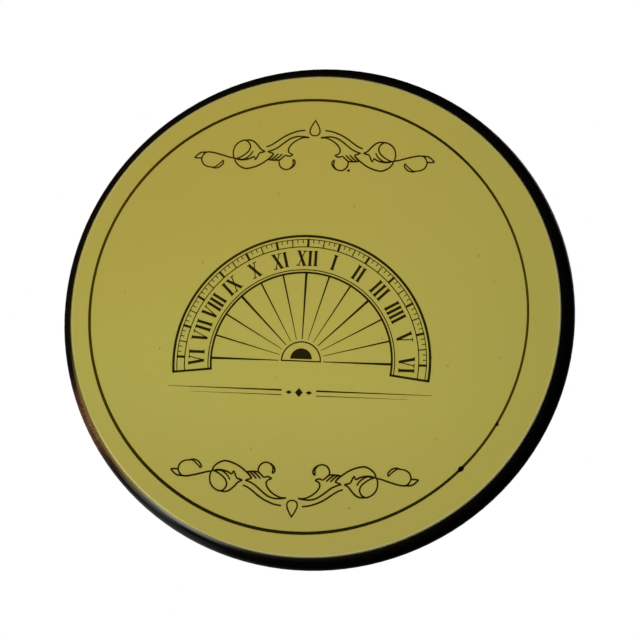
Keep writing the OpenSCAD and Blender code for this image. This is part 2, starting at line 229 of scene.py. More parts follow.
# ---------------------------------------------------------------- other materials
def plate_material():
    """Satin gold-coloured sheet, faintly clouded, with a pale bare cut edge that carries a painted highlight and a
    painted glint.
    """
    g = Nodes("gold_plate")
    o = g.obj()
    x, y, z = g.xyz(g.vmath("SUBTRACT", o, (PLATE_C[0] * MM, PLATE_C[1] * MM, 0)))
    r = g.length(x, y)
    big = g.noise(o, 45.0, 3.0, 0.5)
    mid = g.noise(g.vmath("ADD", o, (0.3, 0.1, 0.2)), 420.0, 3.0, 0.6)
    c1 = g.mix(g.span(big, 0.35, 0.65), (0.505, 0.440, 0.074), (0.490, 0.450, 0.086))
    c2 = g.mix(g.span(mid, 0.38, 0.68), c1, (0.520, 0.440, 0.088))
    # browner towards -y, and darker towards +y and +x
    c3 = g.mix(g.math("MULTIPLY", g.span(y, 0.012, -0.028), 0.9), c2, (0.496, 0.398, 0.068))
    low_side = g.math("MULTIPLY", g.span(y, 0.014, 0.042), g.span(x, -0.022, 0.006))
    c3 = g.mix(g.math("MULTIPLY", low_side, 0.8), c3, (0.485, 0.392, 0.080))
    c3 = g.mix(g.math("MULTIPLY", g.span(y, 0.010, 0.038), 0.8), c3, (0.450, 0.388, 0.080))
    c3 = g.mix(g.math("MULTIPLY", g.span(x, 0.000, 0.045), 0.9), c3, (0.448, 0.396, 0.074))
    specks = g.span(g.noise(o, 700.0, 1.0, 0.5), 0.745, 0.80)
    c4 = g.mix(g.math("MULTIPLY", specks, 0.35), c3, (0.20, 0.16, 0.035))
    edge = g.span(r, 42.54 * MM, 42.70 * MM)
    # the bare cut edge's own pale colour, with a painted highlight: lighter towards -x and +y, bluer towards +x and +y
    bare_edge_and_highlight = g.mix(g.span(g.math("SUBTRACT", x, y), -0.020, 0.030), (0.580, 0.520, 0.165), (0.495, 0.440, 0.150))
    bare_edge_and_highlight = g.mix(g.span(g.math("ADD", x, y), 0.012, 0.040), bare_edge_and_highlight, (0.530, 0.488, 0.220))
    # painted highlight: a bright glint painted on the cut edge, brightest over a third of a right angle
    way = g.math("ARCTAN2", y, x)
    painted_edge_glint = g.math("MULTIPLY", g.span(way, math.radians(112), math.radians(122)),
                  g.span(way, math.radians(158), math.radians(140)))
    painted_edge_glint = g.math("MULTIPLY", painted_edge_glint, g.span(r, 42.62 * MM, 42.80 * MM))
    bare_edge_and_highlight = g.mix(painted_edge_glint, bare_edge_and_highlight, (0.920, 0.810, 0.290))
    g.set(Base_Color=g.mix(edge, c4, bare_edge_and_highlight))
    grain = g.noise(o, 5200.0, 3.0, 0.7)
    g.set(Metallic=g.math("MULTIPLY_ADD", edge, -0.10, 0.42))
    g.set(Roughness=g.math("MULTIPLY_ADD", g.span(grain, 0.3, 0.7), 0.08, 0.50), Specular_IOR_Level=0.25)
    g.set(Normal=g.bump(grain, 3e-6))
    return g.mat


def lacquer_material():
    """Brown stain under near-black gloss lacquer: the grain only just shows."""
    g = Nodes("lacquered_wood")
    o = g.obj()
    x, y, z = g.xyz(o)
    # the blank's grain runs along X, with slow wander
    v = g.join(g.math("MULTIPLY", x, 0.07), y, g.math("MULTIPLY", z, 0.8))
    wander = g.noise(o, 35.0, 2.0)
    v = g.vmath("ADD", v, g.join(0.0, g.math("MULTIPLY", wander, 0.012), 0.0))
    grain = g.noise(v, 900.0, 4.0, 0.65)
    pores = g.span(g.noise(v, 3600.0, 2.0, 0.6), 0.56, 0.70)
    tone = g.mix(g.span(grain, 0.40, 0.66), (0.0022, 0.0013, 0.0011), (0.0085, 0.0036, 0.0022))
    tone = g.mix(g.math("MULTIPLY", pores, 0.7), tone, (0.0010, 0.0007, 0.0006))
    # under the bottom edge the lacquer is thin, and at one place the brown shows. Beside the plate an olive painted
    # reflection of the gold plate is laid in
    px, py, pz = g.xyz(g.vmath("SUBTRACT", o, (PLATE_C[0] * MM, PLATE_C[1] * MM, 0)))
    off = g.math("SUBTRACT", g.length(px, py), 43 * MM)
    low = g.span(z, 3.6 * MM, 2.3 * MM)
    rim_reflection_and_shade = g.mix(g.span(off, 0.05 * MM, 0.62 * MM), (0.0140, 0.0095, 0.0002), (0.0042, 0.0028, 0.0012))
    # painted shade: on the side away from the lamps the reflection is painted out to near black
    painted_shade_side = g.math("MULTIPLY", g.span(x, -0.020, 0.0), g.span(y, -0.030, 0.0))
    rim_reflection_and_shade = g.mix(g.math("MULTIPLY", painted_shade_side, 0.8), rim_reflection_and_shade, (0.0010, 0.0007, 0.0004))
    tone = g.mix(low, tone, rim_reflection_and_shade)
    round_ = g.math("ARCTAN2", y, x)
    # painted highlight: a faint grey haze near the bead's outer edge, over one stretch of the rim
    outer_painted_highlight = g.math("MULTIPLY", g.span(round_, math.radians(104), math.radians(116)),
                   g.span(round_, math.radians(140), math.radians(122)))
    outer_painted_highlight = g.math("MULTIPLY", g.math("MULTIPLY", outer_painted_highlight, low), g.span(off, 0.70 * MM, 1.15 * MM))
    tone = g.mix(outer_painted_highlight, tone, (0.018, 0.020, 0.021))
    # painted highlight beside the plate's edge over the same stretch, warmer towards its far end
    painted_sheen = g.math("MULTIPLY", g.span(round_, math.radians(116), math.radians(125)),
                   g.span(round_, math.radians(141), math.radians(133)))
    painted_sheen = g.math("MULTIPLY", g.math("MULTIPLY", painted_sheen, low),
                   g.math("MULTIPLY", g.span(off, 0.22 * MM, 0.40 * MM), g.span(off, 1.00 * MM, 0.60 * MM)))
    tone = g.mix(painted_sheen, tone, g.mix(g.span(round_, math.radians(125), math.radians(134)),
                                    (0.058, 0.060, 0.055), (0.098, 0.070, 0.042)))
    # painted highlight: a warm yellow-brown band next to the plate's edge, where the coat is also thinned
    painted_warm_highlight = g.math("MULTIPLY", g.span(round_, math.radians(125), math.radians(135)),
                  g.span(round_, math.radians(170), math.radians(158)))
    painted_warm_highlight = g.math("MULTIPLY", g.math("MULTIPLY", painted_warm_highlight, low), g.span(off, 0.50 * MM, 0.25 * MM))
    tone = g.mix(painted_warm_highlight, tone, (0.150, 0.108, 0.026))
    here = g.math("MULTIPLY", g.span(round_, math.radians(135), math.radians(152)),
                  g.span(round_, math.radians(165), math.radians(150)))
    brown = g.mix(g.span(off, 0.05 * MM, 0.40 * MM), (0.138, 0.074, 0.006), (0.190, 0.096, 0.032))
    brown = g.mix(g.span(off, 0.38 * MM, 0.95 * MM), brown, (0.100, 0.039, 0.023))
    mottle = g.span(g.noise(o, 2300.0, 3.0, 0.6), 0.34, 0.66, 0.45, 1.25)
    # painted glints: pale specks within the brown patch
    painted_glints = g.math("MULTIPLY", g.span(g.noise(o, 5200.0, 2.0, 0.6), 0.63, 0.72), 0.55)
    brown = g.mix(painted_glints, brown, (0.34, 0.22, 0.14))
    here = g.math("MULTIPLY", g.math("MULTIPLY", here, low), mottle)
    g.set(Base_Color=g.mix(here, tone, brown))
    rough = g.math("MULTIPLY_ADD", g.span(grain, 0.3, 0.7), 0.12, 0.30)
    # and its outermost part is rubbed dull
    dull = g.math("MULTIPLY", g.span(z, 2.55 * MM, 2.25 * MM), g.span(g.length(x, y), 44.30 * MM, 44.75 * MM))
    g.set(Roughness=g.math("MAXIMUM", rough, g.math("MULTIPLY", dull, 0.62)))
    orange = g.noise(o, 520.0, 2.0, 0.5)
    haze = g.noise(o, 3800.0, 3.0, 0.6)
    g.set(Normal=g.bump(haze, 5e-6, normal=g.bump(orange, 14e-6)))
    bare = g.math("MAXIMUM", dull, g.math("MULTIPLY", painted_warm_highlight, 0.7))
    g.set(Coat_Weight=g.math("MULTIPLY_ADD", bare, -0.85, 0.85), Coat_Roughness=0.085, Coat_IOR=1.5)
    g.set(Specular_IOR_Level=g.math("MULTIPLY_ADD", low, -0.20, 0.25))
    return g.mat


def ink_material(name, colour, rough, thin=None):
    """Printing ink or engraver's wax: slightly uneven in tone and shine."""
    g = Nodes(name)
    o = g.obj()
    n = g.noise(o, 2600.0, 3.0, 0.6)
    tone = g.mix(g.span(n, 0.35, 0.7), colour, tuple(c * 1.7 for c in colour))
    if thin is not None:                            # the print is starved towards two sides and one corner
        x, y, z = g.xyz(o)
        sides = g.span(g.math("ABSOLUTE", x), 23 * MM, 35 * MM)
        corner = g.math("MULTIPLY", g.span(g.math("ADD", x, y), -0.012, -0.042), 0.55)
        tone = g.mix(g.math("MAXIMUM", sides, corner), tone, thin)
    g.set(Base_Color=tone)
    g.set(Roughness=g.math("MULTIPLY_ADD", n, 0.25, rough - 0.12), Specular_IOR_Level=0.03)
    return g.mat


def card_material():
    g = Nodes("compass_card")
    o = g.obj()
    fibres = g.noise(o, 2400.0, 4.0, 0.7)
    age = g.noise(o, 110.0, 3.0, 0.6)
    c = g.mix(g.span(age, 0.35, 0.75), (0.80, 0.755, 0.60), (0.70, 0.63, 0.45))
    g.set(Base_Color=g.mix(g.math("MULTIPLY", g.span(fibres, 0.45, 0.75), 0.35), c, (0.86, 0.83, 0.72)))
    g.set(Roughness=g.math("MULTIPLY_ADD", fibres, 0.2, 0.62))
    g.set(Normal=g.bump(fibres, 5e-6))
    return g.mat


def needle_material():
    """North half heat-blued, south half left bright, with the straw and purple of the heat between."""
    g = Nodes("needle_steel")
    o = g.obj()
    x, y, z = g.xyz(o)
    wob = g.math("MULTIPLY", g.noise(o, 900.0, 2.0), 0.0012)
    t = g.math("ADD", y, wob)
    ramp = g.nt.nodes.new("ShaderNodeValToRGB")
    g.put(ramp.inputs[0], g.span(t, -0.0040, 0.0036, smooth=False))
    e = ramp.color_ramp.elements
    e[0].position, e[0].color = 0.0, (0.012, 0.030, 0.170, 1)
    e[1].position, e[1].color = 1.0, (0.56, 0.56, 0.55, 1)
    for pos, col in ((0.45, (0.020, 0.035, 0.20, 1)), (0.62, (0.10, 0.03, 0.12, 1)), (0.76, (0.34, 0.16, 0.05, 1)),
                     (0.88, (0.50, 0.42, 0.26, 1))):
        k = e.new(pos)
        k.color = col
    marks = g.noise(g.join(x, g.math("MULTIPLY", y, 0.03), z), 7000.0, 3.0)
    g.set(Base_Color=g.mix(g.math("MULTIPLY", g.span(marks, 0.5, 0.8), 0.25), ramp.outputs[0], (0.02, 0.02, 0.03)))
    g.set(Metallic=1.0, Roughness=g.math("MULTIPLY_ADD", marks, 0.16, 0.16))
    g.set(Normal=g.bump(marks, 2e-6))
    return g.mat


def steel_material():
    g = Nodes("bright_steel")
    o = g.obj()
    x, y, z = g.xyz(o)
    marks = g.noise(g.join(g.length(x, y), z, 0.0), 8000.0, 3.0)
    g.set(Base_Color=g.mix(marks, (0.30, 0.30, 0.31), (0.44, 0.44, 0.44)), Metallic=1.0)
    g.set(Roughness=g.math("MULTIPLY_ADD", marks, 0.15, 0.34), Normal=g.bump(marks, 3e-6))
    return g.mat


def gasket_material():
    g = Nodes("gasket")
    o = g.obj()
    n = g.noise(o, 3000.0, 3.0)
    g.set(Base_Color=g.mix(n, (0.012, 0.012, 0.012), (0.030, 0.029, 0.027)))
    g.set(Roughness=g.math("MULTIPLY_ADD", n, 0.2, 0.6), Normal=g.bump(n, 8e-6))
    return g.mat


def glass_material():
    g = Nodes("glass")
    o = g.obj()
    wave = g.noise(o, 160.0, 1.0)
    smear = g.span(g.noise(g.vmath("ADD", o, (0.1, 0.4, 0)), 260.0, 3.0, 0.6), 0.55, 0.8)
    g.set(Base_Color=(0.97, 0.985, 0.98), IOR=1.47, Transmission_Weight=1.0)
    g.set(Roughness=g.math("MULTIPLY", smear, 0.03), Normal=g.bump(wave, 6e-6))
    return g.mat


M.update(plate=plate_material(), lacquer=lacquer_material(), card=card_material(), needle=needle_material(),
         steel=steel_material(), gasket=gasket_material(), glass=glass_material(),
         ink=ink_material("printing_ink", (0.0205, 0.0154, 0.0001), 0.60, (0.068, 0.051, 0.0001)),
         faint=ink_material("worn_print", (0.150, 0.120, 0.024), 0.50),
         wax=ink_material("black_wax", (0.0080, 0.0070, 0.0055), 0.45),
         red=ink_material("red_ink", (0.22, 0.018, 0.012), 0.55),
         grime=ink_material("old_polish", (0.045, 0.030, 0.012), 0.70))

for node, m in {
        "wood_base": "lacquer", "label_plate": "plate", "deck_plate": "deck", "deck_screws": "screw",
        "compass_bowl": "turned_z", "compass_card": "card", "compass_pivot": "steel", "compass_needle": "needle",
        "needle_cap": "turned_z", "glass_gasket": "gasket", "compass_glass": "glass", "compass_bezel": "turned_z",
        "hinge_bracket": "hinge", "hinge_screws": "screw", "hinge_pin": "hpin", "hinge_washers": "hwasher",
        "hour_ring": "ring", "gnomon_crossbar": "crossbar", "gnomon_pin": "pin", "crossbar_pivot_screw": "screw",
        "latitude_quadrant": "quadrant", "quadrant_screws": "screw", "clamp_stud": "nut",
        "latitude_pointer": "pointer", "clamp_washer": "washer", "clamp_nut": "nut"}.items():
    mats = NODES[node].data.materials
    if len(mats):
        for i in range(len(mats)):
            mats[i] = M[m]
    else:
        mats.append(M[m])
NODES["compass_glass"].visible_shadow = False

# The files that fitted the brass broke its sharp edges
for node, width in (("latitude_quadrant", 0.16), ("hinge_bracket", 0.20), ("deck_plate", 0.16), ("hour_ring", 0.09),
                    ("latitude_pointer", 0.06), ("clamp_nut", 0.07), ("hinge_washers", 0.04), ("clamp_washer", 0.04),
                    ("deck_screws", 0.05), ("hinge_screws", 0.06), ("quadrant_screws", 0.06),
                    ("crossbar_pivot_screw", 0.06)):
    ob = NODES[node]
    ob.modifiers.new("one_skin", "WELD").merge_threshold = 1e-6
    flat = ob.modifiers.new("flat_faces", "DECIMATE")
    flat.decimate_type, flat.angle_limit = "DISSOLVE", math.radians(0.6)
    soft = ob.modifiers.new("broken_edges", "BEVEL")
    soft.width, soft.segments, soft.limit_method, soft.angle_limit = width * MM, 2, "ANGLE", math.radians(40)
    soft.harden_normals, soft.use_clamp_overlap = True, node not in ("latitude_quadrant", "hour_ring")


# ---------------------------------------------------------------- line work
def spline(pts, n=8, closed=False):
    """Smooth curve through the points, n steps a span."""
    p = np.asarray(pts, float)
    if closed:
        q = np.vstack([p[-1], p, p[0], p[1]])
        spans = len(p)
    else:
        q = np.vstack([2 * p[0] - p[1], p, 2 * p[-1] - p[-2]])
        spans = len(p) - 1
    out = []
    for i in range(spans):
        a, b, c, d = q[i:i + 4]
        for s in np.arange(n) / n:
            out.append(0.5 * (2 * b + (c - a) * s + (2 * a - 5 * b + 4 * c - d) * s * s
                              + (3 * b - a - 3 * c + d) * s ** 3))
    if not closed:
        out.append(p[-1])
    return np.array(out)


class Lines:
    """Thin solid strips and patches laid on a surface, in millimetres of that surface's own plane."""

    def __init__(self, high, low):
        self.high, self.low = high, low     # top of the strip over the surface, and its foot under it
        self.v, self.f = [], []
        self.stack = [(1.0, 0.0, 0.0, 0.0, 1.0)]

    def at(self, x=0.0, y=0.0, turn=0.0, size=1.0, flip=1.0):
        """Sets where the next shapes go: scaled, mirrored in x by flip, turned, then moved."""
        self.stack[-1] = (size, math.radians(turn), x, y, flip)
        return self

    def _place(self, pts):
        s, a, x, y, flip = self.stack[-1]
        p = np.asarray(pts, float) * s
        p = p * np.array([flip, 1.0])
        c, d = math.cos(a), math.sin(a)
        return np.stack([p[:, 0] * c - p[:, 1] * d + x, p[:, 0] * d + p[:, 1] * c + y], 1)

    def patch(self, pts):
        """A filled outline."""
        p = self._place(pts)
        n, k = len(p), len(self.v)
        self.v += [(a, b, self.high) for a, b in p] + [(a, b, self.low) for a, b in p]
        self.f.append(list(range(k, k + n)))
        self.f.append(list(range(k + 2 * n - 1, k + n - 1, -1)))
        for i in range(n):
            j = (i + 1) % n
            self.f.append([k + i, k + n + i, k + n + j, k + j])

    def line(self, pts, w, closed=False, taper=(1.0, 1.0), swell=0.0):
        """A strip of width w along the points. taper narrows its two ends, swell widens its middle."""
        p = self._place(pts)
        n = len(p)
        step = np.roll(p, -1, 0) - p
        step = step if closed else step[:-1]
        step = step / np.maximum(np.linalg.norm(step, axis=1), 1e-9)[:, None]
        if closed:
            before, after = np.roll(step, 1, 0), step
        else:
            before, after = np.vstack([step[:1], step]), np.vstack([step, step[-1:]])
        nrm = np.stack([-(before + after)[:, 1], (before + after)[:, 0]], 1)
        nrm = nrm / np.maximum(np.linalg.norm(nrm, axis=1), 1e-9)[:, None]
        side = np.stack([-after[:, 1], after[:, 0]], 1)
        mitre = 1 / np.clip((nrm * side).sum(1), 0.45, 1)
        t = np.linspace(0, 1, n)
        width = w * (1 + swell * np.sin(math.pi * t))
        if not closed:
            width = width * np.minimum(1, np.minimum(taper[0] + (1 - taper[0]) * t / 0.25,
                                                     taper[1] + (1 - taper[1]) * (1 - t) / 0.25))
        half = (nrm * (mitre * width / 2)[:, None])
        left, right = p + half, p - half
        k = len(self.v)
        for i in range(n):
            self.v += [(*left[i], self.high), (*right[i], self.high), (*right[i], self.low), (*left[i], self.low)]
        for i in range(n if closed else n - 1):
            a, b = k + 4 * i, k + 4 * ((i + 1) % n)
            for e in range(4):
                g = (e + 1) % 4
                self.f.append([a + e, a + g, b + g, b + e])
        if not closed:
            self.f.append([k, k + 3, k + 2, k + 1])
            e = k + 4 * (n - 1)
            self.f.append([e, e + 1, e + 2, e + 3])

    def arc(self, cx, cy, r, w, a0=0.0, a1=360.0, steps=None):
        closed = abs(a1 - a0) >= 360
        steps = steps or max(8, int(abs(a1 - a0) / 3 * max(1, r / 12)))
        t = np.radians(np.linspace(a0, a1, steps, endpoint=not closed))
        self.line(np.stack([cx + r * np.cos(t), cy + r * np.sin(t)], 1), w, closed)

    def disc(self, cx, cy, r, n=20, rough=0.0, seed=1):
        rnd = random.Random(seed)
        a = [2 * math.pi * i / n for i in range(n)]
        self.patch([(cx + r * (1 + rough * rnd.uniform(-1, 1)) * math.cos(t),
                     cy + r * (1 + rough * rnd.uniform(-1, 1)) * math.sin(t)) for t in a])

    def build(self, name, place, mat, body):
        """place maps the plane's (u, v, height) to millimetres in the part's frame."""
        me = bpy.data.meshes.new(name)
        me.from_pydata([tuple(c * MM for c in place(*p)) for p in self.v], [], self.f)
        bm = bmesh.new()
        bm.from_mesh(me)
        bmesh.ops.recalc_face_normals(bm, faces=bm.faces[:])
        bm.to_mesh(me)
        bm.free()
        me.materials.append(mat)
        ob = bpy.data.objects.new(name, me)
        scene.collection.objects.link(ob)
        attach(ob, body)
        return ob


# Engraver's figures and letters, each in a box one unit high
def _c(*pts):
    return spline(pts, 5)


GLYPH = {
    "0": (0.60, [spline([(0.30, 1.0), (0.07, 0.80), (0.02, 0.5), (0.07, 0.20), (0.30, 0.0), (0.53, 0.20), (0.58, 0.5),
                         (0.53, 0.80)], 4, True)]),
    "1": (0.34, [[(0.02, 0.80), (0.22, 1.0), (0.22, 0.0)]]),
    "2": (0.60, [np.vstack([_c((0.04, 0.76), (0.12, 0.94), (0.30, 1.0), (0.49, 0.93), (0.55, 0.74), (0.48, 0.54),
                               (0.27, 0.30), (0.02, 0.0)), [(0.58, 0.0)]])]),
    "3": (0.60, [_c((0.05, 0.87), (0.18, 0.98), (0.34, 1.0), (0.50, 0.91), (0.53, 0.76), (0.46, 0.60), (0.24, 0.54)),
                 _c((0.24, 0.54), (0.50, 0.46), (0.58, 0.28), (0.52, 0.09), (0.32, 0.0), (0.14, 0.02), (0.02, 0.14))]),
    "4": (0.62, [[(0.45, 0.0), (0.45, 1.0), (0.02, 0.28), (0.62, 0.28)]]),
    "5": (0.60, [[(0.53, 1.0), (0.13, 1.0), (0.08, 0.55)],
                 _c((0.08, 0.55), (0.24, 0.62), (0.42, 0.59), (0.55, 0.46), (0.58, 0.29), (0.50, 0.08), (0.30, 0.0),
                    (0.13, 0.03), (0.02, 0.13))]),
    "6": (0.60, [_c((0.50, 0.93), (0.36, 1.0), (0.20, 0.94), (0.08, 0.72), (0.03, 0.40), (0.09, 0.11), (0.30, 0.0),
                    (0.50, 0.08), (0.58, 0.30), (0.50, 0.52), (0.30, 0.60), (0.12, 0.52), (0.04, 0.36))]),
    "7": (0.60, [[(0.02, 1.0), (0.58, 1.0), (0.22, 0.0)]]),
    "8": (0.60, [spline([(0.30, 1.0), (0.10, 0.90), (0.08, 0.72), (0.30, 0.55), (0.52, 0.72), (0.50, 0.90)], 4, True),
                 spline([(0.30, 0.55), (0.05, 0.38), (0.06, 0.10), (0.30, 0.0), (0.54, 0.10), (0.55, 0.38)], 4, True)]),
    "9": (0.60, [1 * np.array([[0.60, 1.0]]) - _c((0.50, 0.93), (0.36, 1.0), (0.20, 0.94), (0.08, 0.72), (0.03, 0.40),
                                                  (0.09, 0.11), (0.30, 0.0), (0.50, 0.08), (0.58, 0.30), (0.50, 0.52),
                                                  (0.30, 0.60), (0.12, 0.52), (0.04, 0.36))]),
    "N": (0.72, [[(0.06, 0.0), (0.06, 1.0), (0.66, 0.0), (0.66, 1.0)]]),
    "E": (0.58, [[(0.56, 1.0), (0.06, 1.0), (0.06, 0.0), (0.58, 0.0)], [(0.06, 0.52), (0.46, 0.52)]]),
    "S": (0.60, [_c((0.54, 0.86), (0.44, 0.97), (0.30, 1.0), (0.12, 0.93), (0.06, 0.77), (0.14, 0.60), (0.32, 0.51),
                    (0.50, 0.41), (0.56, 0.24), (0.47, 0.06), (0.28, 0.0), (0.12, 0.04), (0.03, 0.15))]),
    "W": (0.98, [[(0.02, 1.0), (0.25, 0.0), (0.49, 0.80), (0.73, 0.0), (0.96, 1.0)]]),
}


def write(L, text, x, y, size, w, turn=0.0, gap=0.22, flip=1.0):
    """Single-stroke text, centred on (x, y), turned by turn degrees."""
    total = sum(GLYPH[c][0] for c in text) + gap * (len(text) - 1)
    a = math.radians(turn)
    pen = -total / 2
    for c in text:
        width, strokes = GLYPH[c]
        ox, oy = flip * pen * size, -0.5 * size
        L.at(x + ox * math.cos(a) - oy * math.sin(a), y + ox * math.sin(a) + oy * math.cos(a), turn, size, flip)
        for s in strokes:
            L.line(s, w)
        pen += width + gap
    L.at()


HOURS = {4: "IIII", 5: "V", 6: "VI", 7: "VII", 8: "VIII", 9: "IX", 10: "X", 11: "XI", 12: "XII"}


def roman_name(h):
    h = (h - 1) % 12 + 1
    return {1: "I", 2: "II", 3: "III"}.get(h) or HOURS[h]


def roman(L, text, x, y, size, turn=0.0, thick=0.155, thin=0.055, gap=0.13, squeeze=1.0, flip=1.0, serif=True):
    """Roman numeral with thick and thin strokes and flat serifs, centred on (x, y)."""
    wide = {"I": 0.30, "V": 0.72, "X": 0.70}
    total = sum(wide[c] for c in text) + gap * (len(text) - 1)
    a = math.radians(turn)
    pen = -total / 2
    sq = np.array([squeeze, 1.0])
    for c in text:
        ox, oy = flip * pen * size * squeeze, -0.5 * size
        L.at(x + ox * math.cos(a) - oy * math.sin(a), y + ox * math.sin(a) + oy * math.cos(a), turn, size, flip)
        strokes, feet = {
            "I": ([((0.15, 0), (0.15, 1), thick)], [(0.15, 0), (0.15, 1)]),
            "V": ([((0.12, 1), (0.37, 0), thick), ((0.62, 1), (0.38, 0), thin)], [(0.12, 1), (0.62, 1)]),
            "X": ([((0.12, 1), (0.58, 0), thick), ((0.58, 1), (0.12, 0), thin)],
                  [(0.12, 0), (0.58, 0), (0.12, 1), (0.58, 1)]),
        }[c]
        for p, q, w in strokes:
            L.line(np.array([p, q], float) * sq, w * size)
        if serif:
            for fx, fy in feet:
                yy = fy + (0.5 - fy) * 2 * thin * 0.5
                reach = 0.15 if c != "V" else 0.14
                L.line(np.array([(fx - reach, yy), (fx + reach, yy)]) * sq, thin * size)
        pen += wide[c] + gap
    L.at()


# Scroll ornament: a traditional leaf-and-tendril pair with a drop between them. One side, in millimetres from the
# middle of the pattern, x away from the centre line and y away from the middle
SCROLL = [
    # (points, width, closed, smooth)
    ([(18.20, 26.42), (19.10, 26.57), (19.84, 27.07), (20.17, 27.97), (19.89, 28.72), (19.49, 29.19)], 0.19, 0, 1),
    ([(18.20, 26.38), (17.50, 26.28), (16.76, 26.56), (16.28, 27.08), (16.17, 27.44), (16.30, 27.77)], 0.19, 0, 1),
    ([(16.27, 27.79), (16.55, 27.41), (17.14, 26.87), (17.70, 26.47), (18.24, 26.40)], 0.17, 0, 1),
    ([(21.48, 28.13), (20.81, 28.07), (20.16, 28.10)], 0.20, 0, 1),
    ([(21.48, 28.12), (21.03, 28.60), (20.48, 29.03), (19.95, 29.18), (19.28, 29.21)], 0.20, 0, 1),
    ([(19.89, 28.71), (19.49, 29.14), (18.76, 29.24), (17.71, 29.07), (16.36, 28.71), (15.19, 28.36),
      (14.23, 28.17)], 0.21, 0, 1),
    ([(14.20, 28.12), (14.51, 28.85), (14.47, 29.81), (14.12, 30.64), (13.43, 31.27), (12.56, 31.56), (11.85, 31.17),
      (11.50, 30.43), (11.67, 29.71), (12.14, 29.13), (12.88, 28.58), (13.57, 28.22)], 0.20, 1, 1),
    ([(12.55, 31.56), (11.73, 31.62), (10.96, 31.36), (10.20, 30.68), (9.56, 29.94), (8.83, 29.52)], 0.21, 0, 1),
    ([(14.00, 28.11), (13.19, 27.91), (12.32, 27.96), (11.46, 28.18), (10.73, 28.60)], 0.22, 0, 1),
    ([(10.76, 28.61), (10.57, 28.27), (10.46, 27.93)], 0.18, 0, 1),
    ([(10.48, 27.94), (10.21, 28.37), (10.01, 28.87), (9.76, 29.29)], 0.20, 0, 1),
    ([(9.75, 29.29), (9.29, 29.38), (8.80, 29.57)], 0.22, 0, 1),
    ([(13.56, 28.00), (12.63, 28.02), (11.95, 28.38), (11.37, 28.91), (10.97, 29.58)], 0.19, 0, 1),
    ([(14.19, 28.10), (13.94, 27.42), (13.40, 26.87), (12.73, 26.48), (12.04, 26.30), (11.14, 26.45), (10.19, 26.78),
      (9.22, 27.30), (8.42, 27.91), (7.90, 28.33), (7.20, 29.11)], 0.21, 0, 1),
    ([(7.20, 29.15), (7.83, 29.34), (8.32, 29.57)], 0.20, 0, 1),
    ([(8.33, 29.51), (7.60, 29.75), (6.66, 30.23), (5.71, 31.00), (4.88, 31.65), (4.08, 32.14), (3.05, 32.43),
      (2.03, 32.41), (1.02, 32.24)], 0.21, 0, 1),
    ([(1.02, 32.24), (1.97, 32.24), (2.98, 31.84), (3.92, 31.16), (4.50, 30.39), (4.63, 29.80), (4.38, 29.33),
      (3.74, 29.04)], 0.20, 0, 1),
    ([(3.74, 29.06), (4.12, 28.80), (4.58, 28.74), (5.09, 28.92)], 0.20, 0, 1),
    ([(5.10, 28.93), (5.60, 28.47), (6.12, 28.02), (6.67, 27.94), (7.40, 27.95), (8.22, 28.04)], 0.21, 0, 1),
    ([(8.13, 28.02), (7.59, 28.62), (7.21, 29.12)], 0.22, 0, 1),
    ([(7.68, 27.96), (7.04, 28.49), (6.38, 29.15)], 0.20, 0, 1),
    ([(7.13, 27.92), (6.36, 28.46), (5.68, 29.13)], 0.20, 0, 1),
    ([(6.14, 27.97), (6.18, 27.51), (5.99, 26.92), (5.54, 26.46), (4.90, 26.25), (4.20, 26.40)], 0.20, 0, 1),
    ([(4.21, 26.38), (3.66, 26.79), (3.33, 27.32), (3.34, 27.79), (3.68, 28.19)], 0.20, 0, 1),
    ([(3.68, 28.20), (3.67, 27.69), (3.66, 27.09), (4.21, 26.40)], 0.18, 0, 1),
    ([(8.66, 30.38), (7.80, 30.72), (6.85, 31.36), (5.91, 32.07), (4.81, 32.74), (3.74, 33.19), (2.84, 33.47),
      (1.78, 33.61)], 0.21, 0, 1),
]
DROP = [(0.0, 35.44), (0.30, 34.98), (0.60, 34.42), (0.83, 33.86), (0.90, 33.40), (0.77, 32.97), (0.44, 32.70),
        (0.0, 32.61)]


def scrolls(L, up, weight=1.0, place=(0, 0, 0, 1.0), drop=0.0):
    """One scroll ornament, both its sides. up 1 puts it on the +v side of the pattern's middle, -1 on the other.
    place = (x, y, turn, size), and drop is how far the drop stands off the centre line, or None for no drop."""
    px, py, turn, size = place
    L.at(px, py, turn, size)
    for side in (1, -1):
        for pts, w, closed, _ in SCROLL:
            p = np.array(pts) * np.array([side, up])
            L.line(spline(p, 6, bool(closed)), w * weight * size, bool(closed), swell=0.12)
    if drop is not None:
        right = spline([DROP[0], *DROP[1:]], 5)
        both = np.vstack([right, (right * np.array([-1, 1]))[::-1][1:-1]]) * np.array([1, up]) + np.array([drop, 0])
        L.line(both, 0.20 * weight * size, True)
    L.at()


# ---------------------------------------------------------------- print on the underside plate
ORN = (-1.866, 0.774)         # middle of the print
INK_HIGH, INK_LOW = 0.012, -0.02


def under(u, v, h):
    """The plate's underside as seen from below: u to the right, v down, h out of the face."""
    return u + ORN[0], v + ORN[1], -h


P = Lines(INK_HIGH, INK_LOW)
# the thin ring: a little out of round, and heavier on one side, as printed
t = np.radians(np.arange(0, 360, 1.0))
rr = 38.557 - 0.109 * np.cos(2 * t) + 0.056 * np.sin(2 * t)
mid = np.stack([-1.504 - ORN[0] + rr * np.cos(t), 0.242 - ORN[1] + rr * np.sin(t)], 1)
heavy = (1 + 0.12 * np.sin(t - 0.35)) * (1 - 0.05 * np.cos(t) - 0.05 * np.sin(t) - 0.03 * np.sin(2 * t))
P.line(mid, 0.50 * heavy * (1 - 0.085 * np.cos(2 * t)), True)
scrolls(P, 1, 1.42, (0.05, 0.02, 0.08, 0.998), 0.07)
scrolls(P, -1, 1.29, (0.13, 0.0, -0.28, 0.998), -0.06)

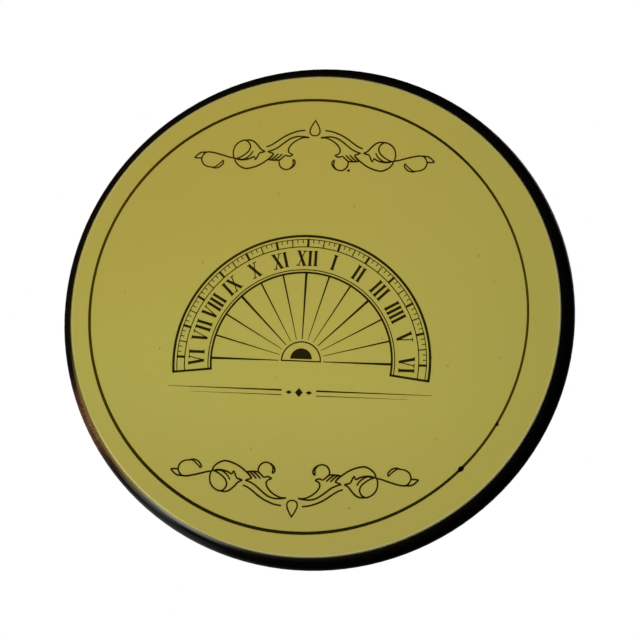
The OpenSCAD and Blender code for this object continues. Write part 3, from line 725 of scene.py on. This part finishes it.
# half-round hour scale: equal hours, as an equatorial dial has them. Its ends run on 7 degrees under the level
SC, R_OUT, R_IN = (0.0, 8.3), 22.4, 16.3
A0, A1 = 173.0, 367.0
P.at()
for r, w in ((R_OUT, 0.44), (R_OUT - 0.62, 0.16), (R_OUT - 1.95, 0.18), (R_IN, 0.18), (R_IN - 0.5, 0.36)):
    P.arc(SC[0], SC[1], r, w, A0, A1, steps=131)
for a in (A0, A1):
    d = np.array([math.cos(math.radians(a)), math.sin(math.radians(a))])
    P.line([np.array(SC) + d * (R_IN - 0.68), np.array(SC) + d * (R_OUT + 0.22)], 0.40)
for q in range(12 * 6 + 1):                         # every ten minutes
    a = math.radians(180 + q * 2.5)
    d = np.array([math.cos(a), math.sin(a)])
    c = np.array(SC)
    if q % 6 == 0:
        P.line([c + d * (R_OUT - 1.95), c + d * (R_OUT - 0.5)], 0.42)
    elif q % 3 == 0:
        P.line([c + d * (R_OUT - 1.95), c + d * (R_OUT - 0.62)], 0.20)
    else:
        P.line([c + d * (R_OUT - 1.30), c + d * (R_OUT - 0.62)], 0.16)
for i, h in enumerate(range(6, 19)):
    a = 180 + i * 15
    r = (R_OUT - 1.95 + R_IN) / 2
    x, y = SC[0] + r * math.cos(math.radians(a)), SC[1] + r * math.sin(math.radians(a))
    # v runs down, so a numeral is drawn the other way up and turned to stand on the arc
    t = a + 90
    word = roman_name(h)
    sub = Lines(INK_HIGH, INK_LOW)
    roman(sub, word, 0, 0, 2.75, 0, 0.18, 0.065, gap=0.11, squeeze=0.78 if len(word) > 3 else 0.88)
    ca, sa = math.cos(math.radians(t)), math.sin(math.radians(t))
    k = len(P.v)
    for (u, v, hh) in sub.v:
        u2, v2 = u, -v
        P.v.append((x + u2 * ca - v2 * sa, y + u2 * sa + v2 * ca, hh))
    P.f += [[k + j for j in f] for f in sub.f]
for i in range(0, 13):                              # hour lines from the style's foot
    a = math.radians(180 + i * 15)
    d = np.array([math.cos(a), math.sin(a)])
    c = np.array(SC)
    P.line([c + d * 3.9, c + d * (R_IN - 0.5)], 0.30 if i % 3 else 0.44, taper=(0.35, 1.0))
P.arc(SC[0], SC[1], 3.4, 0.24, 180, 360, steps=31)
P.line([(-3.5, SC[1]), (3.5, SC[1])], 0.24)
P.patch([(SC[0] + 1.9 * math.cos(t), SC[1] - 0.35 + 1.9 * math.sin(t)) for t in np.radians(np.linspace(180, 360, 25))])
# rule under the scale, with a lozenge in its middle
RULE = SC[1] + 5.2
for s in (-1, 1):
    P.line([(s * 23.0, RULE), (s * 3.0, RULE)], 0.30, taper=(0.25, 1.0))
    P.line([(s * 19.0, RULE + 0.85), (s * 3.0, RULE + 0.85)], 0.16, taper=(0.25, 1.0))
    P.patch([(s * 2.35, RULE + 0.35), (s * 1.75, RULE), (s * 1.15, RULE + 0.35), (s * 1.75, RULE + 0.70)][::s])
P.patch([(0.0, RULE - 0.45), (0.70, RULE + 0.35), (0.0, RULE + 1.15), (-0.70, RULE + 0.35)])
# specks in the print: a dot, and two blots on the thin ring
P.disc(6.32, -26.27, 0.25, 11, 0.22, 3)
P.patch([(28.48 + a * 0.74 + b * 0.67, 25.90 - a * 0.67 + b * 0.74) for a, b in
         ((0.70, 0.05), (0.40, 0.38), (0.0, 0.50), (-0.38, 0.40), (-0.68, 0.06), (-0.42, -0.30), (0.0, -0.44),
          (0.42, -0.32))][::-1])
P.patch([(34.24 + a * 0.46 + b * 0.89, 18.01 - a * 0.89 + b * 0.46) for a, b in
         ((0.42, 0.0), (0.12, 0.34), (-0.05, 0.37), (-0.36, 0.02), (0.0, -0.26))][::-1])
plate_print = P.build("plate_print", under, M["ink"], "base")

W = Lines(INK_HIGH * 0.7, INK_LOW)
for i, (x, y, r) in enumerate([(-25.0, 7.0, 0.13), (22.6, 6.8, 0.12), (7.7, -19.7, 0.11),
                               (34.4, 6.4, 0.12), (9.9, 33.5, 0.15)]):
    W.disc(x, y, r, 9, 0.35, i + 20)
plate_specks = W.build("plate_wear_specks", under, M["faint"], "base")


# ---------------------------------------------------------------- hour scale on both faces of the ring
CT, ST = math.cos(TILT), math.sin(TILT)


def on_ring(x, y, z):
    """The ring's own frame, its origin in the ring's centre, y up the slope and z out of the upper face."""
    yy = y + RING_C
    return x, HINGE[1] + yy * CT - z * ST, HINGE[2] + yy * ST + z * CT


def hour_face(L, first, last, mirror):
    """u to the reader's right and v up the slope. On the lower face the reader's right is the ring's -x."""
    m = -1.0 if mirror else 1.0
    for r, w in ((21.30, 0.13), (23.22, 0.12), (24.06, 0.13)):
        L.arc(0, 0, r, w, steps=240)
    for q in range(int((last - first) * 12) + 1):       # every five minutes
        h = first + q / 12
        a = math.radians((h - 6) * 15)
        d = np.array([m * math.cos(a), -math.sin(a)])
        if q % 12 == 0:
            L.line([d * 23.22, d * 24.06], 0.28)
        elif q % 6 == 0:
            L.line([d * 23.22, d * 24.06], 0.17)
        elif q % 3 == 0:
            L.line([d * 23.22, d * 23.84], 0.12)
        else:
            L.line([d * 23.22, d * 23.56], 0.09)
    for h in range(int(first), int(last) + 1):
        a = math.radians((h - 6) * 15)
        x, y = m * 22.26 * math.cos(a), -22.26 * math.sin(a)
        name = roman_name(h)
        turn = math.degrees(math.atan2(y, x)) + 90      # feet outward
        roman(L, name, x, y, 1.50, turn, 0.19, 0.085, gap=0.11, squeeze=0.86)
    # a plain wavy tendril fills the night hours
    a0, a1 = (last - 6) * 15 + 9, (first - 6) * 15 + 351
    n = 60
    t = np.linspace(a0, a1, n * 4 + 1)
    rr = 22.25 + 0.42 * np.sin((t - a0) / (a1 - a0) * math.pi * 14)
    ang = np.radians(t)
    L.line(np.stack([m * rr * np.cos(ang), -rr * np.sin(ang)], 1), 0.15)
    for i in range(14):
        tt = math.radians(a0 + (i + 0.5) / 14 * (a1 - a0))
        r2 = 22.25 + (0.10 if i % 2 == 0 else -0.10) * -1
        L.disc(m * r2 * math.cos(tt), -r2 * math.sin(tt), 0.19, 10)


U = Lines(0.004, -0.03)
hour_face(U, 4, 20, False)
U.build("ring_scale_upper", lambda u, v, h: on_ring(u, v, FACE + h), M["wax"], "ring")
D = Lines(0.004, -0.03)
hour_face(D, 6, 18, True)
D.build("ring_scale_lower", lambda u, v, h: on_ring(-u, v, -FACE - h), M["wax"], "ring")


# ---------------------------------------------------------------- latitude scale on the quadrant
Q = Lines(0.004, -0.03)
for lat in range(8, 73):
    a = math.radians(90 - lat)
    d = np.array([math.cos(a), math.sin(a)])
    inner, w = (31.25, 0.22) if lat % 10 == 0 else (31.60, 0.16) if lat % 5 == 0 else (32.05, 0.11)
    if 10 <= lat <= 70:
        Q.line([d * inner, d * 32.62], w)
    if lat % 10 == 0 and 10 <= lat <= 70:
        write(Q, str(lat), d[0] * 30.12, d[1] * 30.12, 1.62, 0.20, 90 - lat - 90)
Q.arc(0, 0, 32.62, 0.14, 19.4, 80.6, steps=100)
Q.arc(0, 0, 29.00, 0.11, 19.4, 80.6, steps=100)
Q.arc(0, 0, 25.55, 0.11, 19.0, 79.0, steps=100)
Q.build("quadrant_scale", lambda u, v, h: (QUAD_X + h, HINGE[1] + u, HINGE[2] + v), M["wax"], "base")


# ---------------------------------------------------------------- deck
E = Lines(0.004, -0.03)
for r, w in ((36.05, 0.14), (37.62, 0.16), (19.05, 0.22), (19.60, 0.11)):
    E.arc(0, 0, r, w, steps=300)
for deg in range(0, 360, 2):
    a = math.radians(deg)
    d = np.array([math.cos(a), math.sin(a)])
    inner, w = (36.05, 0.24) if deg % 30 == 0 else (36.55, 0.16) if deg % 10 == 0 else (36.98, 0.11)
    E.line([d * inner, d * 37.62], w)
# scroll ornaments to the south and the east, half size
scrolls(E, 1, 1.75, (0.0, 8.4, 0, 0.60))
scrolls(E, 1, 1.75, (-8.4, 0.0, 90, 0.60))
E.build("deck_engraving", lambda u, v, h: (u, v, DECK_Z + h), M["wax"], "base")


# old polish in the screws' slots and round the heads that are let in
G = Lines(0.010, -0.03)
for i, deg in enumerate((60, 120, 240, 300)):
    G.at(34.5 * math.cos(math.radians(deg)), 34.5 * math.sin(math.radians(deg)), 25 + 65 * i)
    G.line([(-1.22, 0), (1.22, 0)], 0.36)
G.build("deck_screw_slots", lambda u, v, h: (u, v, DECK_Z - 0.35 + h), M["grime"], "base")
G = Lines(0.003, -0.03)
for i, deg in enumerate((60, 120, 240, 300)):
    G.arc(34.5 * math.cos(math.radians(deg)), 34.5 * math.sin(math.radians(deg)), 1.61, 0.055, steps=40)
G.build("deck_screw_joints", lambda u, v, h: (u, v, DECK_Z + h), M["grime"], "base")
for name, z0, rows, turns in (("hinge_screw_slots", 1.95, [(-9.2, -27.5), (9.2, -27.5)], (40, 110)),
                              ("quadrant_screw_slots", 1.85, [(23.6, -19.5), (23.6, -8.5), (23.6, 2.5)], (15, 65, 115))):
    G = Lines(0.010, -0.03)
    for (x, y), turn in zip(rows, turns):
        G.at(x, y, turn)
        G.line([(-1.24, 0), (1.24, 0)], 0.36)
    G.build(name, lambda u, v, h, z0=z0: (u, v, DECK_Z + z0 + h), M["grime"], "base")


# ---------------------------------------------------------------- compass card
def on_card(u, v, h):
    """The card as read by someone who looks north: u to the east, v to the north."""
    return -u, -v, CARD_Z + h


C = Lines(0.010, -0.05)
for r, w in ((13.95, 0.16), (12.75, 0.09), (9.9, 0.09), (9.55, 0.18), (2.45, 0.14)):
    C.arc(0, 0, r, w, steps=200)
for deg in range(0, 360, 5):
    a = math.radians(deg)
    d = np.array([math.cos(a), math.sin(a)])
    inner, w = (12.75, 0.16) if deg % 30 == 0 else (13.1, 0.12) if deg % 10 == 0 else (13.45, 0.09)
    C.line([d * inner, d * 13.95], w)
for c, deg in (("N", 90), ("E", 0), ("S", 270), ("W", 180)):
    a = math.radians(deg)
    write(C, c, 11.32 * math.cos(a), 11.32 * math.sin(a), 1.9, 0.30, deg - 90)
for deg in range(0, 360, 45):
    if deg % 90:
        a = math.radians(deg)
        for k in (-6, 0, 6):
            b = math.radians(deg + k)
            C.disc(11.3 * math.cos(b), 11.3 * math.sin(b), 0.20 if k else 0.34, 12)
for deg in range(0, 360, 90):                             # four long points and four short ones
    for off, long, waist in ((45, 6.6, 1.75), (0, 9.1, 2.3)):
        a = math.radians(deg + off)
        tip = np.array([math.cos(a), math.sin(a)]) * long
        la = np.array([math.cos(a + math.radians(45)), math.sin(a + math.radians(45))]) * waist
        ra = np.array([math.cos(a - math.radians(45)), math.sin(a - math.radians(45))]) * waist
        s = np.array([math.cos(a), math.sin(a)]) * 0.9
        C.patch([tip, la, s])
        C.line([tip, ra, s], 0.10)
C.build("card_print", on_card, M["ink"], "base")
K = Lines(0.012, -0.05)
K.patch([(0, 9.3), (-0.62, 8.0), (0, 8.35), (0.62, 8.0)])
K.build("card_north_mark", on_card, M["red"], "base")


# ---------------------------------------------------------------- light and floor
def area(name, loc, target, size, power, colour=(1, 1, 1)):
    lamp = bpy.data.lights.new(name, "AREA")
    lamp.shape, lamp.size, lamp.energy, lamp.color = "DISK", size, power, colour
    ob = bpy.data.objects.new(name, lamp)
    scene.collection.objects.link(ob)
    ob.location = loc
    ob.rotation_mode = "QUATERNION"
    ob.rotation_quaternion = (Vector(target) - Vector(loc)).to_track_quat("-Z", "Y")
    return ob


area("key_above", (0.34, -0.40, 0.60), (0, 0, 0.02), 0.30, 3.6, (1.0, 0.985, 0.96))
area("fill_above", (-0.44, 0.30, 0.62), (0, 0, 0.02), 0.45, 2.4, (0.96, 0.98, 1.0))
# A broad lamp from below lights only the printed plate, so that the lacquer beside it stays dark
lamp = area("plate_light", (-0.02, -0.13, -0.60), (0, 0, 0), 0.60, 1.86, (0.985, 0.972, 0.968))
lit = bpy.data.collections.new("lit_from_below")
for ob in (NODES["label_plate"], plate_print, plate_specks):
    lit.objects.link(ob)
lamp.light_linking.receiver_collection = lit

# A lamp from below and to one side shows the base's stain, with no shine of its own
lamp = area("rim_light", (-0.50, 0.09, -0.27), (-0.03, 0.0, 0), 0.30, 3.5)
lamp.visible_glossy = False
wood = bpy.data.collections.new("lit_for_its_stain")
wood.objects.link(NODES["wood_base"])
lamp.light_linking.receiver_collection = wood

# Soft boxes round the dial light the brass only
METAL = bpy.data.collections.new("lit_from_the_sides")
for ob in list(bpy.data.objects):
    if ob.type == "MESH" and ob not in (NODES["wood_base"], NODES["label_plate"], plate_print, plate_specks):
        METAL.objects.link(ob)
for name, loc, size, power in (("box_west", (0.66, -0.16, 0.24), 0.46, 2.3), ("box_east", (-0.66, 0.05, 0.26), 0.46, 1.5),
                               ("box_north", (-0.22, -0.66, 0.20), 0.46, 1.5), ("box_south", (0.20, 0.68, 0.26), 0.46, 1.5)):
    area(name, loc, (0, 0, 0.03), size, power, (1.0, 0.99, 0.97)).light_linking.receiver_collection = METAL
for i, (sx, sy) in enumerate(((1, 1), (-1, 1), (-1, -1), (1, -1))):     # light thrown back by the table
    area("bounce_%d" % i, (0.46 * sx, 0.46 * sy, -0.26), (0, 0, 0.03), 0.62, 0.85,
         (1.0, 0.985, 0.96)).light_linking.receiver_collection = METAL

world = bpy.data.worlds.new("studio")
scene.world = world
world.use_nodes = True
wt = world.node_tree
wt.nodes.clear()


def wn(kind, inputs=(), out=0, **props):
    n = wt.nodes.new("ShaderNode" + kind)
    for k, v in props.items():
        setattr(n, k, v)
    for k, v in dict(inputs).items():
        if isinstance(v, bpy.types.NodeSocket):
            wt.links.new(v, n.inputs[k])
        else:
            n.inputs[k].default_value = v
    return n.outputs[out]


ray = wn("TexCoord", out=0)
sep = wt.nodes.new("ShaderNodeSeparateXYZ")
wt.links.new(ray, sep.inputs[0])
up = wn("MapRange", {"Value": sep.outputs[2], "From Min": 0.52, "From Max": 0.95, "To Min": 0.0, "To Max": 1.0},
        interpolation_type="SMOOTHSTEP")
sky = wt.nodes.new("ShaderNodeMix")
sky.data_type = "RGBA"
wt.links.new(up, sky.inputs[0])
sky.inputs[6].default_value = (0.007, 0.007, 0.008, 1)
sky.inputs[7].default_value = (0.80, 0.81, 0.83, 1)
total = sky.outputs[2]


def glow(direction, inner, outer, colour):
    """A soft round patch of light in the surroundings, inner and outer in degrees from its middle."""
    global total
    d = Vector(direction).normalized()
    dot = wn("VectorMath", {0: ray, 1: tuple(d)}, out=1, operation="DOT_PRODUCT")
    f = wn("MapRange", {"Value": dot, "From Min": math.cos(math.radians(outer)),
                        "From Max": math.cos(math.radians(inner)), "To Min": 0.0, "To Max": 1.0},
           interpolation_type="SMOOTHSTEP")
    c = wn("VectorMath", {0: tuple(colour), "Scale": f}, operation="SCALE")
    total = wn("VectorMath", {0: total, 1: c}, operation="ADD")


glow((-0.277, -0.022, -0.961), 1, 6.5, (12.0, 12.0, 9.6))
glow((-0.345, 0.085, -0.935), 1, 8.5, (3.4, 3.8, 3.7))
glow((-0.430, 0.220, -0.876), 2, 11, (1.1, 1.3, 1.4))
glow((-0.445, 0.130, -0.886), 2, 10, (1.9, 1.8, 1.4))
glow((-0.45, 0.75, 0.50), 5, 24, (0.42, 0.46, 0.48))
camera_ray = wn("LightPath", out=0)
bg_cam = wn("Background", {"Color": (1, 1, 1, 1), "Strength": 1.0})
bg_env = wn("Background", {"Color": total, "Strength": 1.0})
mixed = wn("MixShader", {0: camera_ray, 1: bg_env, 2: bg_cam})
w_out = wt.nodes.new("ShaderNodeOutputWorld")
wt.links.new(mixed, w_out.inputs[0])

# Pale floor that the dial stands on. It is solid seen from above and lets light through from below, so that the
# underside can be looked at too
fm = bpy.data.meshes.new("floor")
R_FLOOR = 1.6
ring_pts = [(R_FLOOR * math.cos(2 * math.pi * i / 64), R_FLOOR * math.sin(2 * math.pi * i / 64), -4e-5)
            for i in range(64)]
fm.from_pydata(ring_pts, [], [list(range(64))])
floor = bpy.data.objects.new("floor", fm)
scene.collection.objects.link(floor)
g = Nodes("pale_floor")
o = g.obj()
tone = g.noise(o, 6.0, 3.0)
g.set(Base_Color=g.mix(tone, (0.78, 0.775, 0.76), (0.83, 0.825, 0.81)), Roughness=0.7)
back = g.node("NewGeometry", out=6)
clear = g.node("BsdfTransparent")
fx, fy, fz = g.xyz(o)
haze = g.node("Emission", {"Color": g.mix(g.span(g.length(fx, fy), 0.45, 1.50), (0.90, 0.90, 0.895), (1, 1, 1)),
                           "Strength": 1.0})
top = g.node("MixShader", {0: g.span(g.length(fx, fy), 0.10, 0.50), 1: g.bsdf.outputs[0], 2: haze})
both = g.node("MixShader", {0: back, 1: top, 2: clear})
g.nt.links.new(both, g.out.inputs[0])
fm.materials.append(g.mat)
floor.visible_diffuse = floor.visible_glossy = floor.visible_transmission = floor.visible_shadow = False
